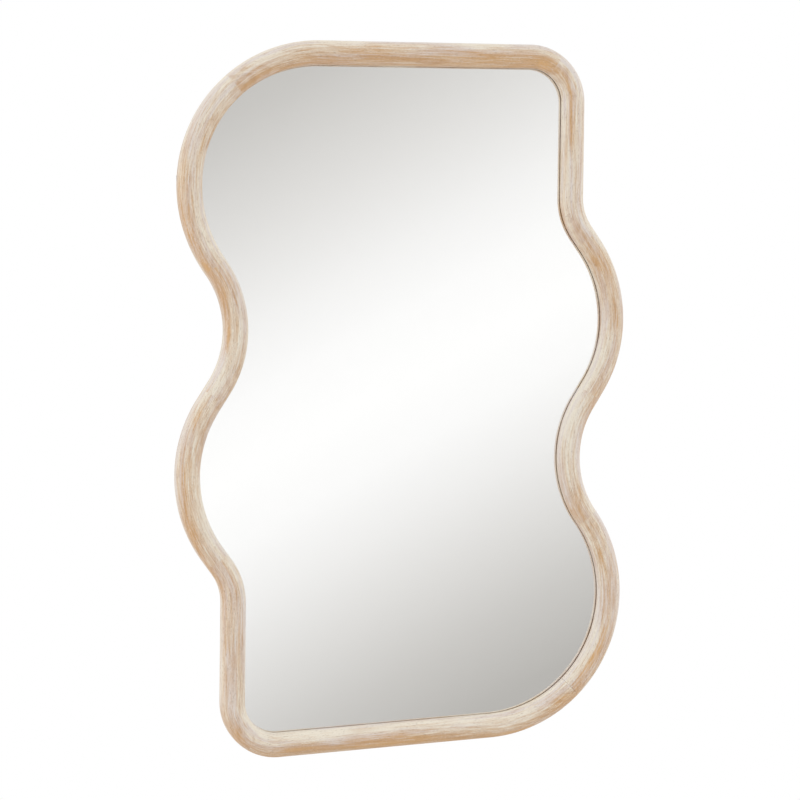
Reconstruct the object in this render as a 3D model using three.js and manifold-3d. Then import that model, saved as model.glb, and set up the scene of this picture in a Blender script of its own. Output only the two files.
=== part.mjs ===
// A wavy wall mirror: a half-round wooden frame of ten sawn segments round one silvered pane.
// Millimetres. +Z is up and the mirror faces -Y. The origin lies on the wall plane, y = 0, at the
// middle of the frame's width and height.

import * as THREE from 'three';
import { mergeVertices } from 'three/addons/utils/BufferGeometryUtils.js';
import Module from 'manifold-3d';

const wasm = await Module();
wasm.setup();

// ------------------------------------------------------------------ driving dimensions

// The frame from the front. Its outer edge is a chain of tangent arcs and straight runs from the
// top, down the right side. The same chain turned half a turn is the left side.
const FRAME_HEIGHT = 914.4;
const FRAME_WIDTH = 609.6;
const SMALL_CORNER_RADIUS = 73;
const SHOULDER_RADIUS = 62; // the hollow under the straight side
const BULGE_RADIUS = 183;
const WAIST_RADIUS = 121;
const BIG_CORNER_RADIUS = 189;
const SIDE_LEAN = 2.4; // degrees by which the straight side draws in towards the shoulder
const WAVE_LEAN = 34; // degrees off the vertical where the edge turns from hollow to full
const UPPER_RUN = 21; // straight, from shoulder to bulge
const LOWER_RUN = 28; // straight, from bulge to waist
const BIG_CORNER_SEAM = 41; // degrees of the big corner that belong to the rail
const SMALL_CORNER_SEAM = 35; // degrees of the small corner that belong to the rail

// The frame's section, from its outer edge inwards and from its front backwards
const FACE_WIDTH = 31;
const ROUND_DEPTH = 12;
const LIP_EDGE = 4; // upright foot of the lip, under the half-round
const GLASS_LAP = 6; // how far the lip reaches over the pane
const BOARD_LAP = 8; // how much further the back board's rabbet reaches
const BACK_ROUND = 2;
const BACK_RECESS = 2.4; // from the back board's face to the frame's back

const GLASS_THICKNESS = 2;
const BOARD_THICKNESS = 3;
const PLATE_PLAY = 0.5; // round the edges of the pane and the back board

const TENON_LENGTH = 36;
const TENON_WIDTH = 14;
const TENON_THICKNESS = 6;
const TENON_COVER = 8; // wood in front of a tenon

const SCREW_RADIUS = 1.5;
const SCREW_HEAD_RADIUS = 2.8;
const SCREW_HEAD_HEIGHT = 1.9;
const SCREW_HEAD_EDGE = 0.8; // upright rim under the head's dome
const SCREW_POINT = 2.5;
const CROSS_LENGTH = 3;
const CROSS_WIDTH = 0.7;
const CROSS_DEPTH = 1;
const BOARD_SCREW_LENGTH = 12;
const HANGER_SCREW_LENGTH = 12;
const PILOT_END = 0.6; // free depth past a screw's point

const RING_WIRE_RADIUS = 1.1;
const RING_INNER_WIDTH = 11;
const RING_DROP = 12; // from the middle of the ring's bar to the inside of its bow
const RING_BEND_RADIUS = 1.6;
const STRAP_WIDTH = 9;
const STRAP_THICKNESS = 1;
const STRAP_DROP = 32; // from the ring's bar to the strap's lower end
const UPPER_SCREW_DROP = 18.5;
const LOWER_SCREW_DROP = 27.5;
const CURL_END = 75; // degrees past the back where the curled end of the strap stops
const STRAP_STRAIGHT = 4; // upright part of the curled strip that the plate carries on

const STAND_OFF = 6; // from the frame's back to the wall
const BUMPER_RADIUS = 6;
const BUMPER_TAPER = 1;
const BUMPER_EDGE = 0.8;

const SEAT_GAP = 0.3; // between a piece and what it sits on
const BORE_GAP = 0.3; // round a screw, a tenon or the ring's bar
const GLUE_LINE = 0.3; // between two segments

// Facets
const ARC_STEP = 6; // degrees
const ROUND_STEPS = 12; // over the frame's half-round front
const BACK_ROUND_STEPS = 3;
const SCREW_SIDES = 10;
const DOME_STEPS = 3;
const WIRE_SIDES = 8;
const BEND_STEP = 20; // degrees, along the ring, so that a flat lies at the middle of its bow
const CURL_STEP = 15; // degrees, round the strap's curl
const TENON_END_STEPS = 5;
const BUMPER_SIDES = 20;
const WELD = 1e-4; // vertices closer than this are one

// ------------------------------------------------------------------ worked-out dimensions

const lean = THREE.MathUtils.degToRad(WAVE_LEAN);
const sideLean = THREE.MathUtils.degToRad(SIDE_LEAN);
const sideways = 1 - Math.cos(lean);

// Places across the section, as distances inwards from the outer edge
const glassRabbet = FACE_WIDTH - GLASS_LAP;
const backBand = glassRabbet - BOARD_LAP;
const bandMiddle = backBand / 2;
const ledgeMiddle = backBand + BOARD_LAP / 2;

// Depths behind the highest line of the frame's front
const glassSeat = ROUND_DEPTH + LIP_EDGE;
const glassBack = glassSeat + SEAT_GAP + GLASS_THICKNESS;
const boardSeat = glassBack;
const boardBack = boardSeat + SEAT_GAP + BOARD_THICKNESS;
const frameDepth = boardBack + BACK_RECESS;

// The same depths as y
const frameBackY = -STAND_OFF;
const frameFrontY = frameBackY - frameDepth;
const boardBackY = frameFrontY + boardBack;

// The chain's free lengths and places, so that the frame keeps its height and width
const sideDrop = FRAME_HEIGHT - SMALL_CORNER_RADIUS - BIG_CORNER_RADIUS
  - (SMALL_CORNER_RADIUS + SHOULDER_RADIUS) * Math.sin(sideLean)
  - (SHOULDER_RADIUS + 2 * BULGE_RADIUS + 2 * WAIST_RADIUS + BIG_CORNER_RADIUS) * Math.sin(lean)
  - (UPPER_RUN + LOWER_RUN) * Math.cos(lean);
const sideRun = sideDrop / Math.cos(sideLean);
const sideDraw = (SMALL_CORNER_RADIUS + SHOULDER_RADIUS) * (1 - Math.cos(sideLean))
  + sideRun * Math.sin(sideLean);
const shoulderReach = SHOULDER_RADIUS * sideways + UPPER_RUN * Math.sin(lean) - sideDraw;
const bulgeReach = shoulderReach + BULGE_RADIUS * sideways;
const bigCornerReach = shoulderReach - LOWER_RUN * Math.sin(lean) + BIG_CORNER_RADIUS * sideways;
const sideX = FRAME_WIDTH / 2 - Math.max(bulgeReach, bigCornerReach);
const bigCornerX = sideX + bigCornerReach;
const railRun = bigCornerX - BIG_CORNER_RADIUS + sideX - SMALL_CORNER_RADIUS;

// ------------------------------------------------------------------ the frame's outer edge

// A run is a stretch of the edge: straight, full (it turns clockwise) or hollow.
function straight(length) {
  return { length, bend: 0, steps: 1 };
}

function full(radius, degrees, step = ARC_STEP) {
  const length = radius * THREE.MathUtils.degToRad(degrees);
  return { length, bend: 1 / radius, steps: Math.ceil(degrees / step) };
}

function hollow(radius, degrees) {
  const run = full(radius, degrees);
  run.bend = -run.bend;
  return run;
}

// A place on the edge has a position and a heading. Its outward direction is on the left.
function outward(place) {
  return { x: -Math.sin(place.heading), z: Math.cos(place.heading) };
}

function inset(place, distance) {
  const out = outward(place);
  return { x: place.x - out.x * distance, z: place.z - out.z * distance };
}

function advance(place, run, length) {
  if (run.bend === 0) {
    return {
      x: place.x + Math.cos(place.heading) * length,
      z: place.z + Math.sin(place.heading) * length,
      heading: place.heading,
    };
  }
  const radius = 1 / run.bend;
  const centre = inset(place, radius);
  const heading = place.heading - run.bend * length;
  const out = outward({ heading });
  return { x: centre.x + out.x * radius, z: centre.z + out.z * radius, heading };
}

// Places along some runs, each pulled in at its two ends by a trim.
function walk(start, runs, trim = 0) {
  const places = [];
  let place = start;
  runs.forEach((run, index) => {
    const from = index === 0 ? trim : 0;
    const to = index === runs.length - 1 ? run.length - trim : run.length;
    for (let step = index === 0 ? 0 : 1; step <= run.steps; step += 1) {
      places.push(advance(place, run, from + (to - from) * step / run.steps));
    }
    place = advance(place, run, run.length);
  });
  return places;
}

function endOf(start, runs) {
  return runs.reduce((place, run) => advance(place, run, run.length), start);
}

function alongRuns(start, runs, distance) {
  let place = start;
  let left = distance;
  for (const run of runs) {
    if (left <= run.length) {
      return advance(place, run, left);
    }
    left -= run.length;
    place = advance(place, run, run.length);
  }
  return place;
}

function halfTurned(place) {
  return { x: -place.x, z: -place.z, heading: place.heading + Math.PI };
}

// The five segments of one half, clockwise from the seam in the upper left corner
const halfOfSegments = [
  {
    names: ['top_rail', 'bottom_rail'],
    screws: 2,
    runs: [
      full(BIG_CORNER_RADIUS, BIG_CORNER_SEAM),
      straight(railRun),
      full(SMALL_CORNER_RADIUS, SMALL_CORNER_SEAM),
    ],
  },
  {
    names: ['right_stile', 'left_stile'],
    screws: 1,
    runs: [
      full(SMALL_CORNER_RADIUS, 90 + SIDE_LEAN - SMALL_CORNER_SEAM),
      straight(sideRun),
      hollow(SHOULDER_RADIUS, WAVE_LEAN + SIDE_LEAN),
      straight(UPPER_RUN / 2),
    ],
  },
  {
    names: ['right_bulge', 'left_bulge'],
    screws: 1,
    runs: [
      straight(UPPER_RUN / 2),
      full(BULGE_RADIUS, 2 * WAVE_LEAN),
      straight(LOWER_RUN / 2),
    ],
  },
  {
    names: ['right_waist', 'left_waist'],
    screws: 1,
    runs: [
      straight(LOWER_RUN / 2),
      hollow(WAIST_RADIUS, 2 * WAVE_LEAN),
    ],
  },
  {
    names: ['right_corner', 'left_corner'],
    screws: 1,
    runs: [full(BIG_CORNER_RADIUS, 90 + WAVE_LEAN - BIG_CORNER_SEAM)],
  },
];

function cornerSeam() {
  const heading = THREE.MathUtils.degToRad(BIG_CORNER_SEAM);
  const out = outward({ heading });
  return {
    x: BIG_CORNER_RADIUS - bigCornerX + out.x * BIG_CORNER_RADIUS,
    z: FRAME_HEIGHT / 2 - BIG_CORNER_RADIUS + out.z * BIG_CORNER_RADIUS,
    heading,
  };
}

function layOutSegments() {
  const first = [];
  const second = [];
  let start = cornerSeam();
  for (const { names, screws, runs } of halfOfSegments) {
    first.push({ name: names[0], screws, runs, start });
    second.push({ name: names[1], screws, runs, start: halfTurned(start) });
    start = endOf(start, runs);
  }
  return [...first, ...second];
}

const segments = layOutSegments();

// ------------------------------------------------------------------ solids

function closedGeometry(geometry) {
  const bare = geometry.index ? geometry.toNonIndexed() : geometry.clone();
  bare.deleteAttribute('normal');
  bare.deleteAttribute('uv');
  return mergeVertices(bare, WELD);
}

function solidOf(geometry) {
  const closed = closedGeometry(geometry);
  return new wasm.Manifold(new wasm.Mesh({
    numProp: 3,
    vertProperties: new Float32Array(closed.attributes.position.array),
    triVerts: new Uint32Array(closed.index.array),
  }));
}

function geometryOf(solid) {
  const { vertProperties, triVerts } = solid.getMesh();
  const geometry = new THREE.BufferGeometry();
  geometry.setAttribute('position', new THREE.BufferAttribute(new Float32Array(vertProperties), 3));
  geometry.setIndex(new THREE.BufferAttribute(new Uint32Array(triVerts), 1));
  geometry.computeVertexNormals();
  return geometry;
}

// A section is an anticlockwise outline of { depth, out } points. The sweep carries it along
// places in the XZ plane, with depth along +Y, and caps its two ends unless it is a ring.
function sweep(places, section, ring = false) {
  const positions = [];
  for (const place of places) {
    const out = outward(place);
    for (const point of section) {
      positions.push(place.x + out.x * point.out, point.depth, place.z + out.z * point.out);
    }
  }
  const size = section.length;
  const indices = [];
  const lastStart = ring ? places.length : places.length - 1;
  for (let index = 0; index < lastStart; index += 1) {
    const near = index * size;
    const far = ((index + 1) % places.length) * size;
    for (let k = 0; k < size; k += 1) {
      const next = (k + 1) % size;
      indices.push(near + k, near + next, far + next);
      indices.push(near + k, far + next, far + k);
    }
  }
  if (!ring) {
    const outline = section.map(point => new THREE.Vector2(point.depth, point.out));
    const end = (places.length - 1) * size;
    for (const [a, b, c] of THREE.ShapeUtils.triangulateShape(outline, [])) {
      indices.push(c, b, a);
      indices.push(end + a, end + b, end + c);
    }
  }
  const geometry = new THREE.BufferGeometry();
  geometry.setAttribute('position', new THREE.Float32BufferAttribute(positions, 3));
  geometry.setIndex(indices);
  geometry.computeVertexNormals();
  return geometry;
}

// A flat plate with its outline in the XZ plane, from backY forwards.
function plate(outline, backY, thickness, holes = []) {
  const shape = new THREE.Shape(outline.map(point => new THREE.Vector2(point.x, point.z)));
  for (const hole of holes) {
    const circle = new THREE.Path().absarc(hole.x, hole.z, hole.radius, 0, 2 * Math.PI, false);
    shape.holes.push(new THREE.Path(circle.getSpacedPoints(SCREW_SIDES).slice(0, -1)));
  }
  const geometry = new THREE.ExtrudeGeometry(shape, { depth: thickness, bevelEnabled: false });
  geometry.rotateX(Math.PI / 2);
  geometry.translate(0, backY, 0);
  return geometry;
}

// A round bar along y, for holes.
function bore(x, z, radius, frontY, backY) {
  const geometry = new THREE.CylinderGeometry(radius, radius, backY - frontY, SCREW_SIDES);
  geometry.translate(x, (frontY + backY) / 2, z);
  return geometry;
}

// ------------------------------------------------------------------ wooden frame

function ellipseArc(centre, radii, fromDegrees, toDegrees, steps) {
  const points = [];
  for (let step = 0; step <= steps; step += 1) {
    const angle = THREE.MathUtils.degToRad(fromDegrees + (toDegrees - fromDegrees) * step / steps);
    points.push({
      depth: centre.depth + radii.depth * Math.cos(angle),
      out: centre.out + radii.out * Math.sin(angle),
    });
  }
  return points;
}

function frameSection() {
  const halfFace = FACE_WIDTH / 2;
  const backCorner = { depth: frameDepth - BACK_ROUND, out: -BACK_ROUND };
  const points = [
    ...ellipseArc({ depth: ROUND_DEPTH, out: -halfFace }, { depth: ROUND_DEPTH, out: halfFace },
      90, 270, ROUND_STEPS),
    { depth: glassSeat, out: -FACE_WIDTH },
    { depth: glassSeat, out: -glassRabbet },
    { depth: boardSeat, out: -glassRabbet },
    { depth: boardSeat, out: -backBand },
    { depth: frameDepth, out: -backBand },
    ...ellipseArc(backCorner, { depth: BACK_ROUND, out: BACK_ROUND }, 0, 90, BACK_ROUND_STEPS),
  ];
  return points.map(point => ({ depth: frameFrontY + point.depth, out: point.out }));
}

// A tenon is a bar along x with rounded narrow edges.
function tenonGeometry(grow) {
  const radius = TENON_THICKNESS / 2 + grow;
  const reach = (TENON_WIDTH - TENON_THICKNESS) / 2;
  const section = [
    ...ellipseArc({ depth: 0, out: reach }, { depth: radius, out: radius }, 0, 180, TENON_END_STEPS),
    ...ellipseArc({ depth: 0, out: -reach }, { depth: radius, out: radius }, 180, 360, TENON_END_STEPS),
  ];
  const half = TENON_LENGTH / 2 + grow;
  return sweep([{ x: -half, z: 0, heading: 0 }, { x: half, z: 0, heading: 0 }], section);
}

function tenonPlaces() {
  return segments.map((segment, index) => {
    const before = segments[(index + segments.length - 1) % segments.length];
    const middle = inset(segment.start, FACE_WIDTH / 2);
    return {
      name: `tenon_${before.name}_to_${segment.name}`,
      x: middle.x,
      y: frameFrontY + TENON_COVER + TENON_THICKNESS / 2,
      z: middle.z,
      heading: segment.start.heading,
    };
  });
}

function setOnEdge(object, { x, y, z, heading }) {
  object.position.set(x, y, z);
  object.rotation.y = -heading;
  object.updateMatrix();
  return object;
}

// ------------------------------------------------------------------ screws and hangers

function screwGeometry(length) {
  const profile = [
    new THREE.Vector2(0, -length),
    new THREE.Vector2(SCREW_RADIUS, SCREW_POINT - length),
    new THREE.Vector2(SCREW_RADIUS, 0),
    new THREE.Vector2(SCREW_HEAD_RADIUS, 0),
  ];
  const domeHeight = SCREW_HEAD_HEIGHT - SCREW_HEAD_EDGE;
  for (let step = 0; step <= DOME_STEPS; step += 1) {
    const angle = step / DOME_STEPS * Math.PI / 2;
    const height = SCREW_HEAD_EDGE + domeHeight * Math.sin(angle);
    profile.push(new THREE.Vector2(SCREW_HEAD_RADIUS * Math.cos(angle), height));
  }
  profile[profile.length - 1].x = 0;
  let screw = solidOf(new THREE.LatheGeometry(profile, SCREW_SIDES));
  for (const [sizeX, sizeZ] of [[CROSS_LENGTH, CROSS_WIDTH], [CROSS_WIDTH, CROSS_LENGTH]]) {
    const slot = new THREE.BoxGeometry(sizeX, 2 * CROSS_DEPTH, sizeZ);
    slot.translate(0, SCREW_HEAD_HEIGHT, 0);
    screw = screw.subtract(solidOf(slot));
  }
  return geometryOf(screw);
}

const curlInner = RING_WIRE_RADIUS + BORE_GAP;
const curlOuter = curlInner + STRAP_THICKNESS;
const ringAxisY = frameBackY + SEAT_GAP + curlOuter;
const strapReach = Math.max(STRAP_DROP, RING_DROP + 2 * RING_WIRE_RADIUS);

// The hangers sit where the upper left corner's edge runs upright, or higher if the straight
// side on the right only starts there.
const sideFootZ = FRAME_HEIGHT / 2 - SMALL_CORNER_RADIUS * (1 + Math.sin(sideLean)) - sideDrop;
const strapMiddleZ = Math.max(FRAME_HEIGHT / 2 - BIG_CORNER_RADIUS, sideFootZ + strapReach / 2);
const ringAxisZ = strapMiddleZ + strapReach / 2;

function edgeXAt(side, z) {
  const places = segments.flatMap(segment => walk(segment.start, segment.runs));
  for (let index = 1; index < places.length; index += 1) {
    const [from, to] = [places[index - 1], places[index]];
    const crosses = (from.z - z) * (to.z - z) <= 0 && from.z !== to.z;
    if (crosses && Math.sign(from.x) === side) {
      return from.x + (to.x - from.x) * (z - from.z) / (to.z - from.z);
    }
  }
  return side * sideX;
}

const hangers = [
  { name: 'left_hanger', side: -1 },
  { name: 'right_hanger', side: 1 },
].map(({ name, side }) => ({ name, x: edgeXAt(side, strapMiddleZ) - side * bandMiddle }));

// The strap's own frame has its origin on the ring's axis.
function strapGeometry() {
  const frontY = -curlOuter;
  const radius = STRAP_WIDTH / 2;
  const outline = [{ x: radius, z: 0 }, { x: -radius, z: 0 }];
  for (let angle = 180; angle <= 360; angle += CURL_STEP) {
    const turn = THREE.MathUtils.degToRad(angle);
    outline.push({ x: radius * Math.cos(turn), z: radius - STRAP_DROP + radius * Math.sin(turn) });
  }
  const holes = [UPPER_SCREW_DROP, LOWER_SCREW_DROP].map(drop => (
    { x: 0, z: -drop, radius: SCREW_RADIUS + BORE_GAP }
  ));
  const flat = plate(outline, frontY + STRAP_THICKNESS, STRAP_THICKNESS, holes);

  const curl = new THREE.Shape();
  curl.moveTo(frontY, -STRAP_STRAIGHT);
  for (let angle = 180; angle >= -CURL_END; angle -= CURL_STEP) {
    const turn = THREE.MathUtils.degToRad(angle);
    curl.lineTo(curlOuter * Math.cos(turn), curlOuter * Math.sin(turn));
  }
  for (let angle = -CURL_END; angle <= 180; angle += CURL_STEP) {
    const turn = THREE.MathUtils.degToRad(angle);
    curl.lineTo(curlInner * Math.cos(turn), curlInner * Math.sin(turn));
  }
  curl.lineTo(frontY + STRAP_THICKNESS, -STRAP_STRAIGHT);
  const barrel = new THREE.ExtrudeGeometry(curl, { depth: STRAP_WIDTH, bevelEnabled: false });
  barrel.translate(0, 0, -STRAP_WIDTH / 2);
  barrel.applyMatrix4(new THREE.Matrix4().makeBasis(
    new THREE.Vector3(0, 1, 0), new THREE.Vector3(0, 0, 1), new THREE.Vector3(1, 0, 0),
  ));
  return geometryOf(solidOf(flat).add(solidOf(barrel)));
}

// The ring's own frame has its origin at the middle of its bar.
function ringGeometry() {
  const bowRadius = RING_INNER_WIDTH / 2 + RING_WIRE_RADIUS;
  const bar = 2 * (bowRadius - RING_BEND_RADIUS);
  const leg = RING_DROP + RING_WIRE_RADIUS - bowRadius - RING_BEND_RADIUS;
  const runs = [
    straight(bar),
    full(RING_BEND_RADIUS, 90, 2 * BEND_STEP),
    straight(leg),
    full(bowRadius, 180, BEND_STEP),
    straight(leg),
    full(RING_BEND_RADIUS, 90, 2 * BEND_STEP),
  ];
  const places = walk({ x: -bar / 2, z: 0, heading: 0 }, runs).slice(0, -1);
  const turn = 180 / WIRE_SIDES; // sets a flat of the wire on the ring's inside
  const wire = ellipseArc({ depth: 0, out: 0 }, { depth: RING_WIRE_RADIUS, out: RING_WIRE_RADIUS },
    turn, 360 + turn, WIRE_SIDES).slice(0, -1);
  return sweep(places, wire, true);
}

function bumperGeometry() {
  const height = STAND_OFF - SEAT_GAP;
  const back = BUMPER_RADIUS - BUMPER_TAPER;
  const profile = [
    new THREE.Vector2(0, 0),
    new THREE.Vector2(BUMPER_RADIUS, 0),
    new THREE.Vector2(back, height - BUMPER_EDGE),
    new THREE.Vector2(back - BUMPER_EDGE, height),
    new THREE.Vector2(0, height),
  ];
  return new THREE.LatheGeometry(profile, BUMPER_SIDES);
}

// ------------------------------------------------------------------ places of the fasteners

function boardScrewPlaces() {
  return segments.flatMap(({ start, runs, screws }) => {
    const length = runs.reduce((sum, run) => sum + run.length, 0);
    return Array.from({ length: screws }, (_, index) => (
      inset(alongRuns(start, runs, length * (index + 0.5) / screws), ledgeMiddle)
    ));
  });
}

function hangerScrewPlaces() {
  return hangers.flatMap(({ name, x }) => [
    { name: `${name}_screw_upper`, x, z: ringAxisZ - UPPER_SCREW_DROP },
    { name: `${name}_screw_lower`, x, z: ringAxisZ - LOWER_SCREW_DROP },
  ]);
}

function bumperPlaces() {
  const [top] = segments;
  const left = inset(endOf(top.start, top.runs.slice(0, 1)), bandMiddle);
  const right = inset(endOf(top.start, top.runs.slice(0, 2)), bandMiddle);
  return [
    { name: 'bumper_top_left', x: left.x, z: left.z },
    { name: 'bumper_top_right', x: right.x, z: right.z },
    { name: 'bumper_bottom_right', x: -left.x, z: -left.z },
    { name: 'bumper_bottom_left', x: -right.x, z: -right.z },
  ];
}

const boardScrews = boardScrewPlaces();
const hangerScrews = hangerScrewPlaces();
const boardScrewSeatY = boardBackY + SEAT_GAP;
const hangerScrewSeatY = frameBackY + SEAT_GAP + STRAP_THICKNESS + SEAT_GAP;

// Everything that is cut out of the frame's segments: mortises and screw holes.
function frameCuts() {
  const radius = SCREW_RADIUS + BORE_GAP;
  const mortises = tenonPlaces().map(place => {
    const shape = setOnEdge(new THREE.Object3D(), place);
    return tenonGeometry(BORE_GAP).applyMatrix4(shape.matrix);
  });
  const boardHoles = boardScrews.map(({ x, z }) => (
    bore(x, z, radius, boardScrewSeatY - BOARD_SCREW_LENGTH - PILOT_END, 0)
  ));
  const hangerHoles = hangerScrews.map(({ x, z }) => (
    bore(x, z, radius, hangerScrewSeatY - HANGER_SCREW_LENGTH - PILOT_END, 0)
  ));
  return [...mortises, ...boardHoles, ...hangerHoles]
    .map(solidOf)
    .reduce((all, cut) => all.add(cut));
}

// ------------------------------------------------------------------ materials

const finishes = {
  frame_wood: { color: 0xd4c2ac, roughness: 0.62, metalness: 0 },
  tenon_wood: { color: 0xc9a87c, roughness: 0.75, metalness: 0 },
  silvered_glass: { color: 0xdfe2e2, roughness: 0.03, metalness: 1 },
  hardboard: { color: 0x7a5a3e, roughness: 0.8, metalness: 0 },
  zinc_steel: { color: 0xb9bcc0, roughness: 0.35, metalness: 1 },
  grey_rubber: { color: 0x4a4a4c, roughness: 0.85, metalness: 0 },
};

function material(finish) {
  return new THREE.MeshStandardMaterial(finishes[finish]);
}

// ------------------------------------------------------------------ assembly

const group = new THREE.Group();

function addPiece(name, geometry, finish, parent = group) {
  const mesh = new THREE.Mesh(geometry, material(finish));
  mesh.name = name;
  parent.add(mesh);
  return mesh;
}

function addFrame() {
  const section = frameSection();
  const cuts = frameCuts();
  for (const { name, start, runs } of segments) {
    const blank = solidOf(sweep(walk(start, runs, GLUE_LINE / 2), section));
    addPiece(`frame_${name}`, geometryOf(blank.subtract(cuts)), 'frame_wood');
  }
  for (const place of tenonPlaces()) {
    setOnEdge(addPiece(place.name, tenonGeometry(0), 'tenon_wood'), place);
  }
}

function addPlates() {
  const places = segments.flatMap(segment => walk(segment.start, segment.runs).slice(0, -1));
  const glassOutline = places.map(place => inset(place, glassRabbet + PLATE_PLAY));
  const boardOutline = places.map(place => inset(place, backBand + PLATE_PLAY));
  const holes = boardScrews.map(({ x, z }) => ({ x, z, radius: SCREW_RADIUS + BORE_GAP }));
  addPiece('mirror_pane', plate(glassOutline, frameFrontY + glassBack, GLASS_THICKNESS),
    'silvered_glass');
  addPiece('back_board', plate(boardOutline, boardBackY, BOARD_THICKNESS, holes), 'hardboard');
  boardScrews.forEach(({ x, z }, index) => {
    const screw = addPiece(`board_screw_${index + 1}`, screwGeometry(BOARD_SCREW_LENGTH), 'zinc_steel');
    screw.position.set(x, boardScrewSeatY, z);
  });
}

function addHangers() {
  for (const { name, x } of hangers) {
    const hanger = new THREE.Group();
    hanger.position.set(x, ringAxisY, ringAxisZ);
    addPiece(`${name}_strap`, strapGeometry(), 'zinc_steel', hanger);
    addPiece(`${name}_ring`, ringGeometry(), 'zinc_steel', hanger);
    group.add(hanger);
  }
  for (const { name, x, z } of hangerScrews) {
    const screw = addPiece(name, screwGeometry(HANGER_SCREW_LENGTH), 'zinc_steel');
    screw.position.set(x, hangerScrewSeatY, z);
  }
}

function addBumpers() {
  for (const { name, x, z } of bumperPlaces()) {
    const bumper = addPiece(name, bumperGeometry(), 'grey_rubber');
    bumper.position.set(x, frameBackY + SEAT_GAP, z);
  }
}

addFrame();
addPlates();
addHangers();
addBumpers();

export default group;
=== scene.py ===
"""The looks of a wavy wooden wall mirror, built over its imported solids.

Metres. The mirror faces -Y and +Z is up. The origin lies on the wall, at the middle of the frame.
"""

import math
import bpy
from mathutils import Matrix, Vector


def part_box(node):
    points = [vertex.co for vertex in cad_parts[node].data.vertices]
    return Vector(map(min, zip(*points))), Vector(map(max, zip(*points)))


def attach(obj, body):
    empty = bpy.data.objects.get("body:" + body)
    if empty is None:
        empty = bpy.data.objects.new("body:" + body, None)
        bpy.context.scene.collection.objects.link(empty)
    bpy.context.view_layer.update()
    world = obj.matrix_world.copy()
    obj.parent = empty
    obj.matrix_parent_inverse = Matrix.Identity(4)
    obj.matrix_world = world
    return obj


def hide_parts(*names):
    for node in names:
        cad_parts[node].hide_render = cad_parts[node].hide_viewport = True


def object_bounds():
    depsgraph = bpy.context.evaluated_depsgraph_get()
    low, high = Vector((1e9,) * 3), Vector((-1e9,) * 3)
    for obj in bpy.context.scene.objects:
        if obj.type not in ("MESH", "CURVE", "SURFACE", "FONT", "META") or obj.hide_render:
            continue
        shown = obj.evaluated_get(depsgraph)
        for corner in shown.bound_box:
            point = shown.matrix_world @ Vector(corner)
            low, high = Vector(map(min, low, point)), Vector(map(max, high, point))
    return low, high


bl_info = {
    "name": "Wavy Wall Mirror",
    "version": (1, 0, 0),
    "blender": (4, 5, 0),
    "location": "View3D > Sidebar > Wavy Mirror",
    "description": "Builds a whitewashed wavy mirror frame, its pane, its back and a pale studio",
    "category": "Object",
}

from collections import namedtuple

import bpy
import numpy as np
from bpy.props import FloatProperty, FloatVectorProperty, PointerProperty
from mathutils import Matrix, Vector

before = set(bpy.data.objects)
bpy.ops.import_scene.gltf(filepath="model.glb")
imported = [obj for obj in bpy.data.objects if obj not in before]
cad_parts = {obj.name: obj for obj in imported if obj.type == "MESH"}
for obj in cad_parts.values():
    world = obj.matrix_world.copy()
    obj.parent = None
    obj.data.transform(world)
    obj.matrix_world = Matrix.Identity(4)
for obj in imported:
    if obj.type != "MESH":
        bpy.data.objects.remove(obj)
CAD_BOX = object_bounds()

MM = 0.001
WHITE = (1.0, 1.0, 1.0)

Place = namedtuple("Place", "x z heading")
Run = namedtuple("Run", "length bend")
Segment = namedtuple("Segment", "name start runs screws")


# ---------------------------------------------------------------- sizes and colours


def length(name, description, millimetres, largest=1.0):
    """A length property, given in millimetres and kept in metres."""
    return FloatProperty(
        name=name,
        description=description,
        default=millimetres * MM,
        min=0.0,
        max=largest,
        precision=4,
        subtype="DISTANCE",
        unit="LENGTH",
    )


def colour(name, description, red, green, blue):
    """A colour property, given as sRGB bytes and kept as linear light."""

    def linear(byte):
        share = byte / 255
        return share / 12.92 if share <= 0.04045 else ((share + 0.055) / 1.055) ** 2.4

    return FloatVectorProperty(
        name=name,
        description=description,
        default=(linear(red), linear(green), linear(blue)),
        min=0.0,
        max=1.0,
        size=3,
        subtype="COLOR",
    )


def angle(name, description, degrees):
    """An angle property, given in degrees and kept in radians."""
    return FloatProperty(
        name=name,
        description=description,
        default=math.radians(degrees),
        subtype="ANGLE",
        unit="ROTATION",
    )


def power(name, description, watts):
    return FloatProperty(name=name, description=description, default=watts, min=0.0, unit="POWER")


def amount(name, description, default):
    return FloatProperty(name=name, description=description, default=default, min=0.0, subtype="FACTOR")


class WAVYMIRROR_PG_outline(bpy.types.PropertyGroup):
    """The frame's outer edge: tangent arcs and straight runs, turned half a turn for the left side"""

    height: length("Height", "Height of the whole frame", (CAD_BOX[1].z - CAD_BOX[0].z) / MM, 5.0)
    width: length("Width", "Width of the whole frame", (CAD_BOX[1].x - CAD_BOX[0].x) / MM, 5.0)
    small_corner: length("Small corner", "Radius of the tight corner", 73)
    shoulder: length("Shoulder", "Radius of the hollow under the straight side", 62)
    bulge: length("Bulge", "Radius of the full curve of the side", 183)
    waist: length("Waist", "Radius of the hollow below the bulge", 121)
    big_corner: length("Big corner", "Radius of the wide corner", 189)
    upper_run: length("Upper run", "Straight stretch from shoulder to bulge", 21)
    lower_run: length("Lower run", "Straight stretch from bulge to waist", 28)
    side_lean: angle("Side lean", "How far the straight side draws in towards the shoulder", 2.4)
    wave_lean: angle("Wave lean", "Off the vertical, where the edge turns from hollow to full", 34)
    big_seam: angle("Big corner's seam", "Angle of the big corner that belongs to the rail", 41)
    small_seam: angle("Small corner's seam", "Angle of the small corner that belongs to the rail", 35)


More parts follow.
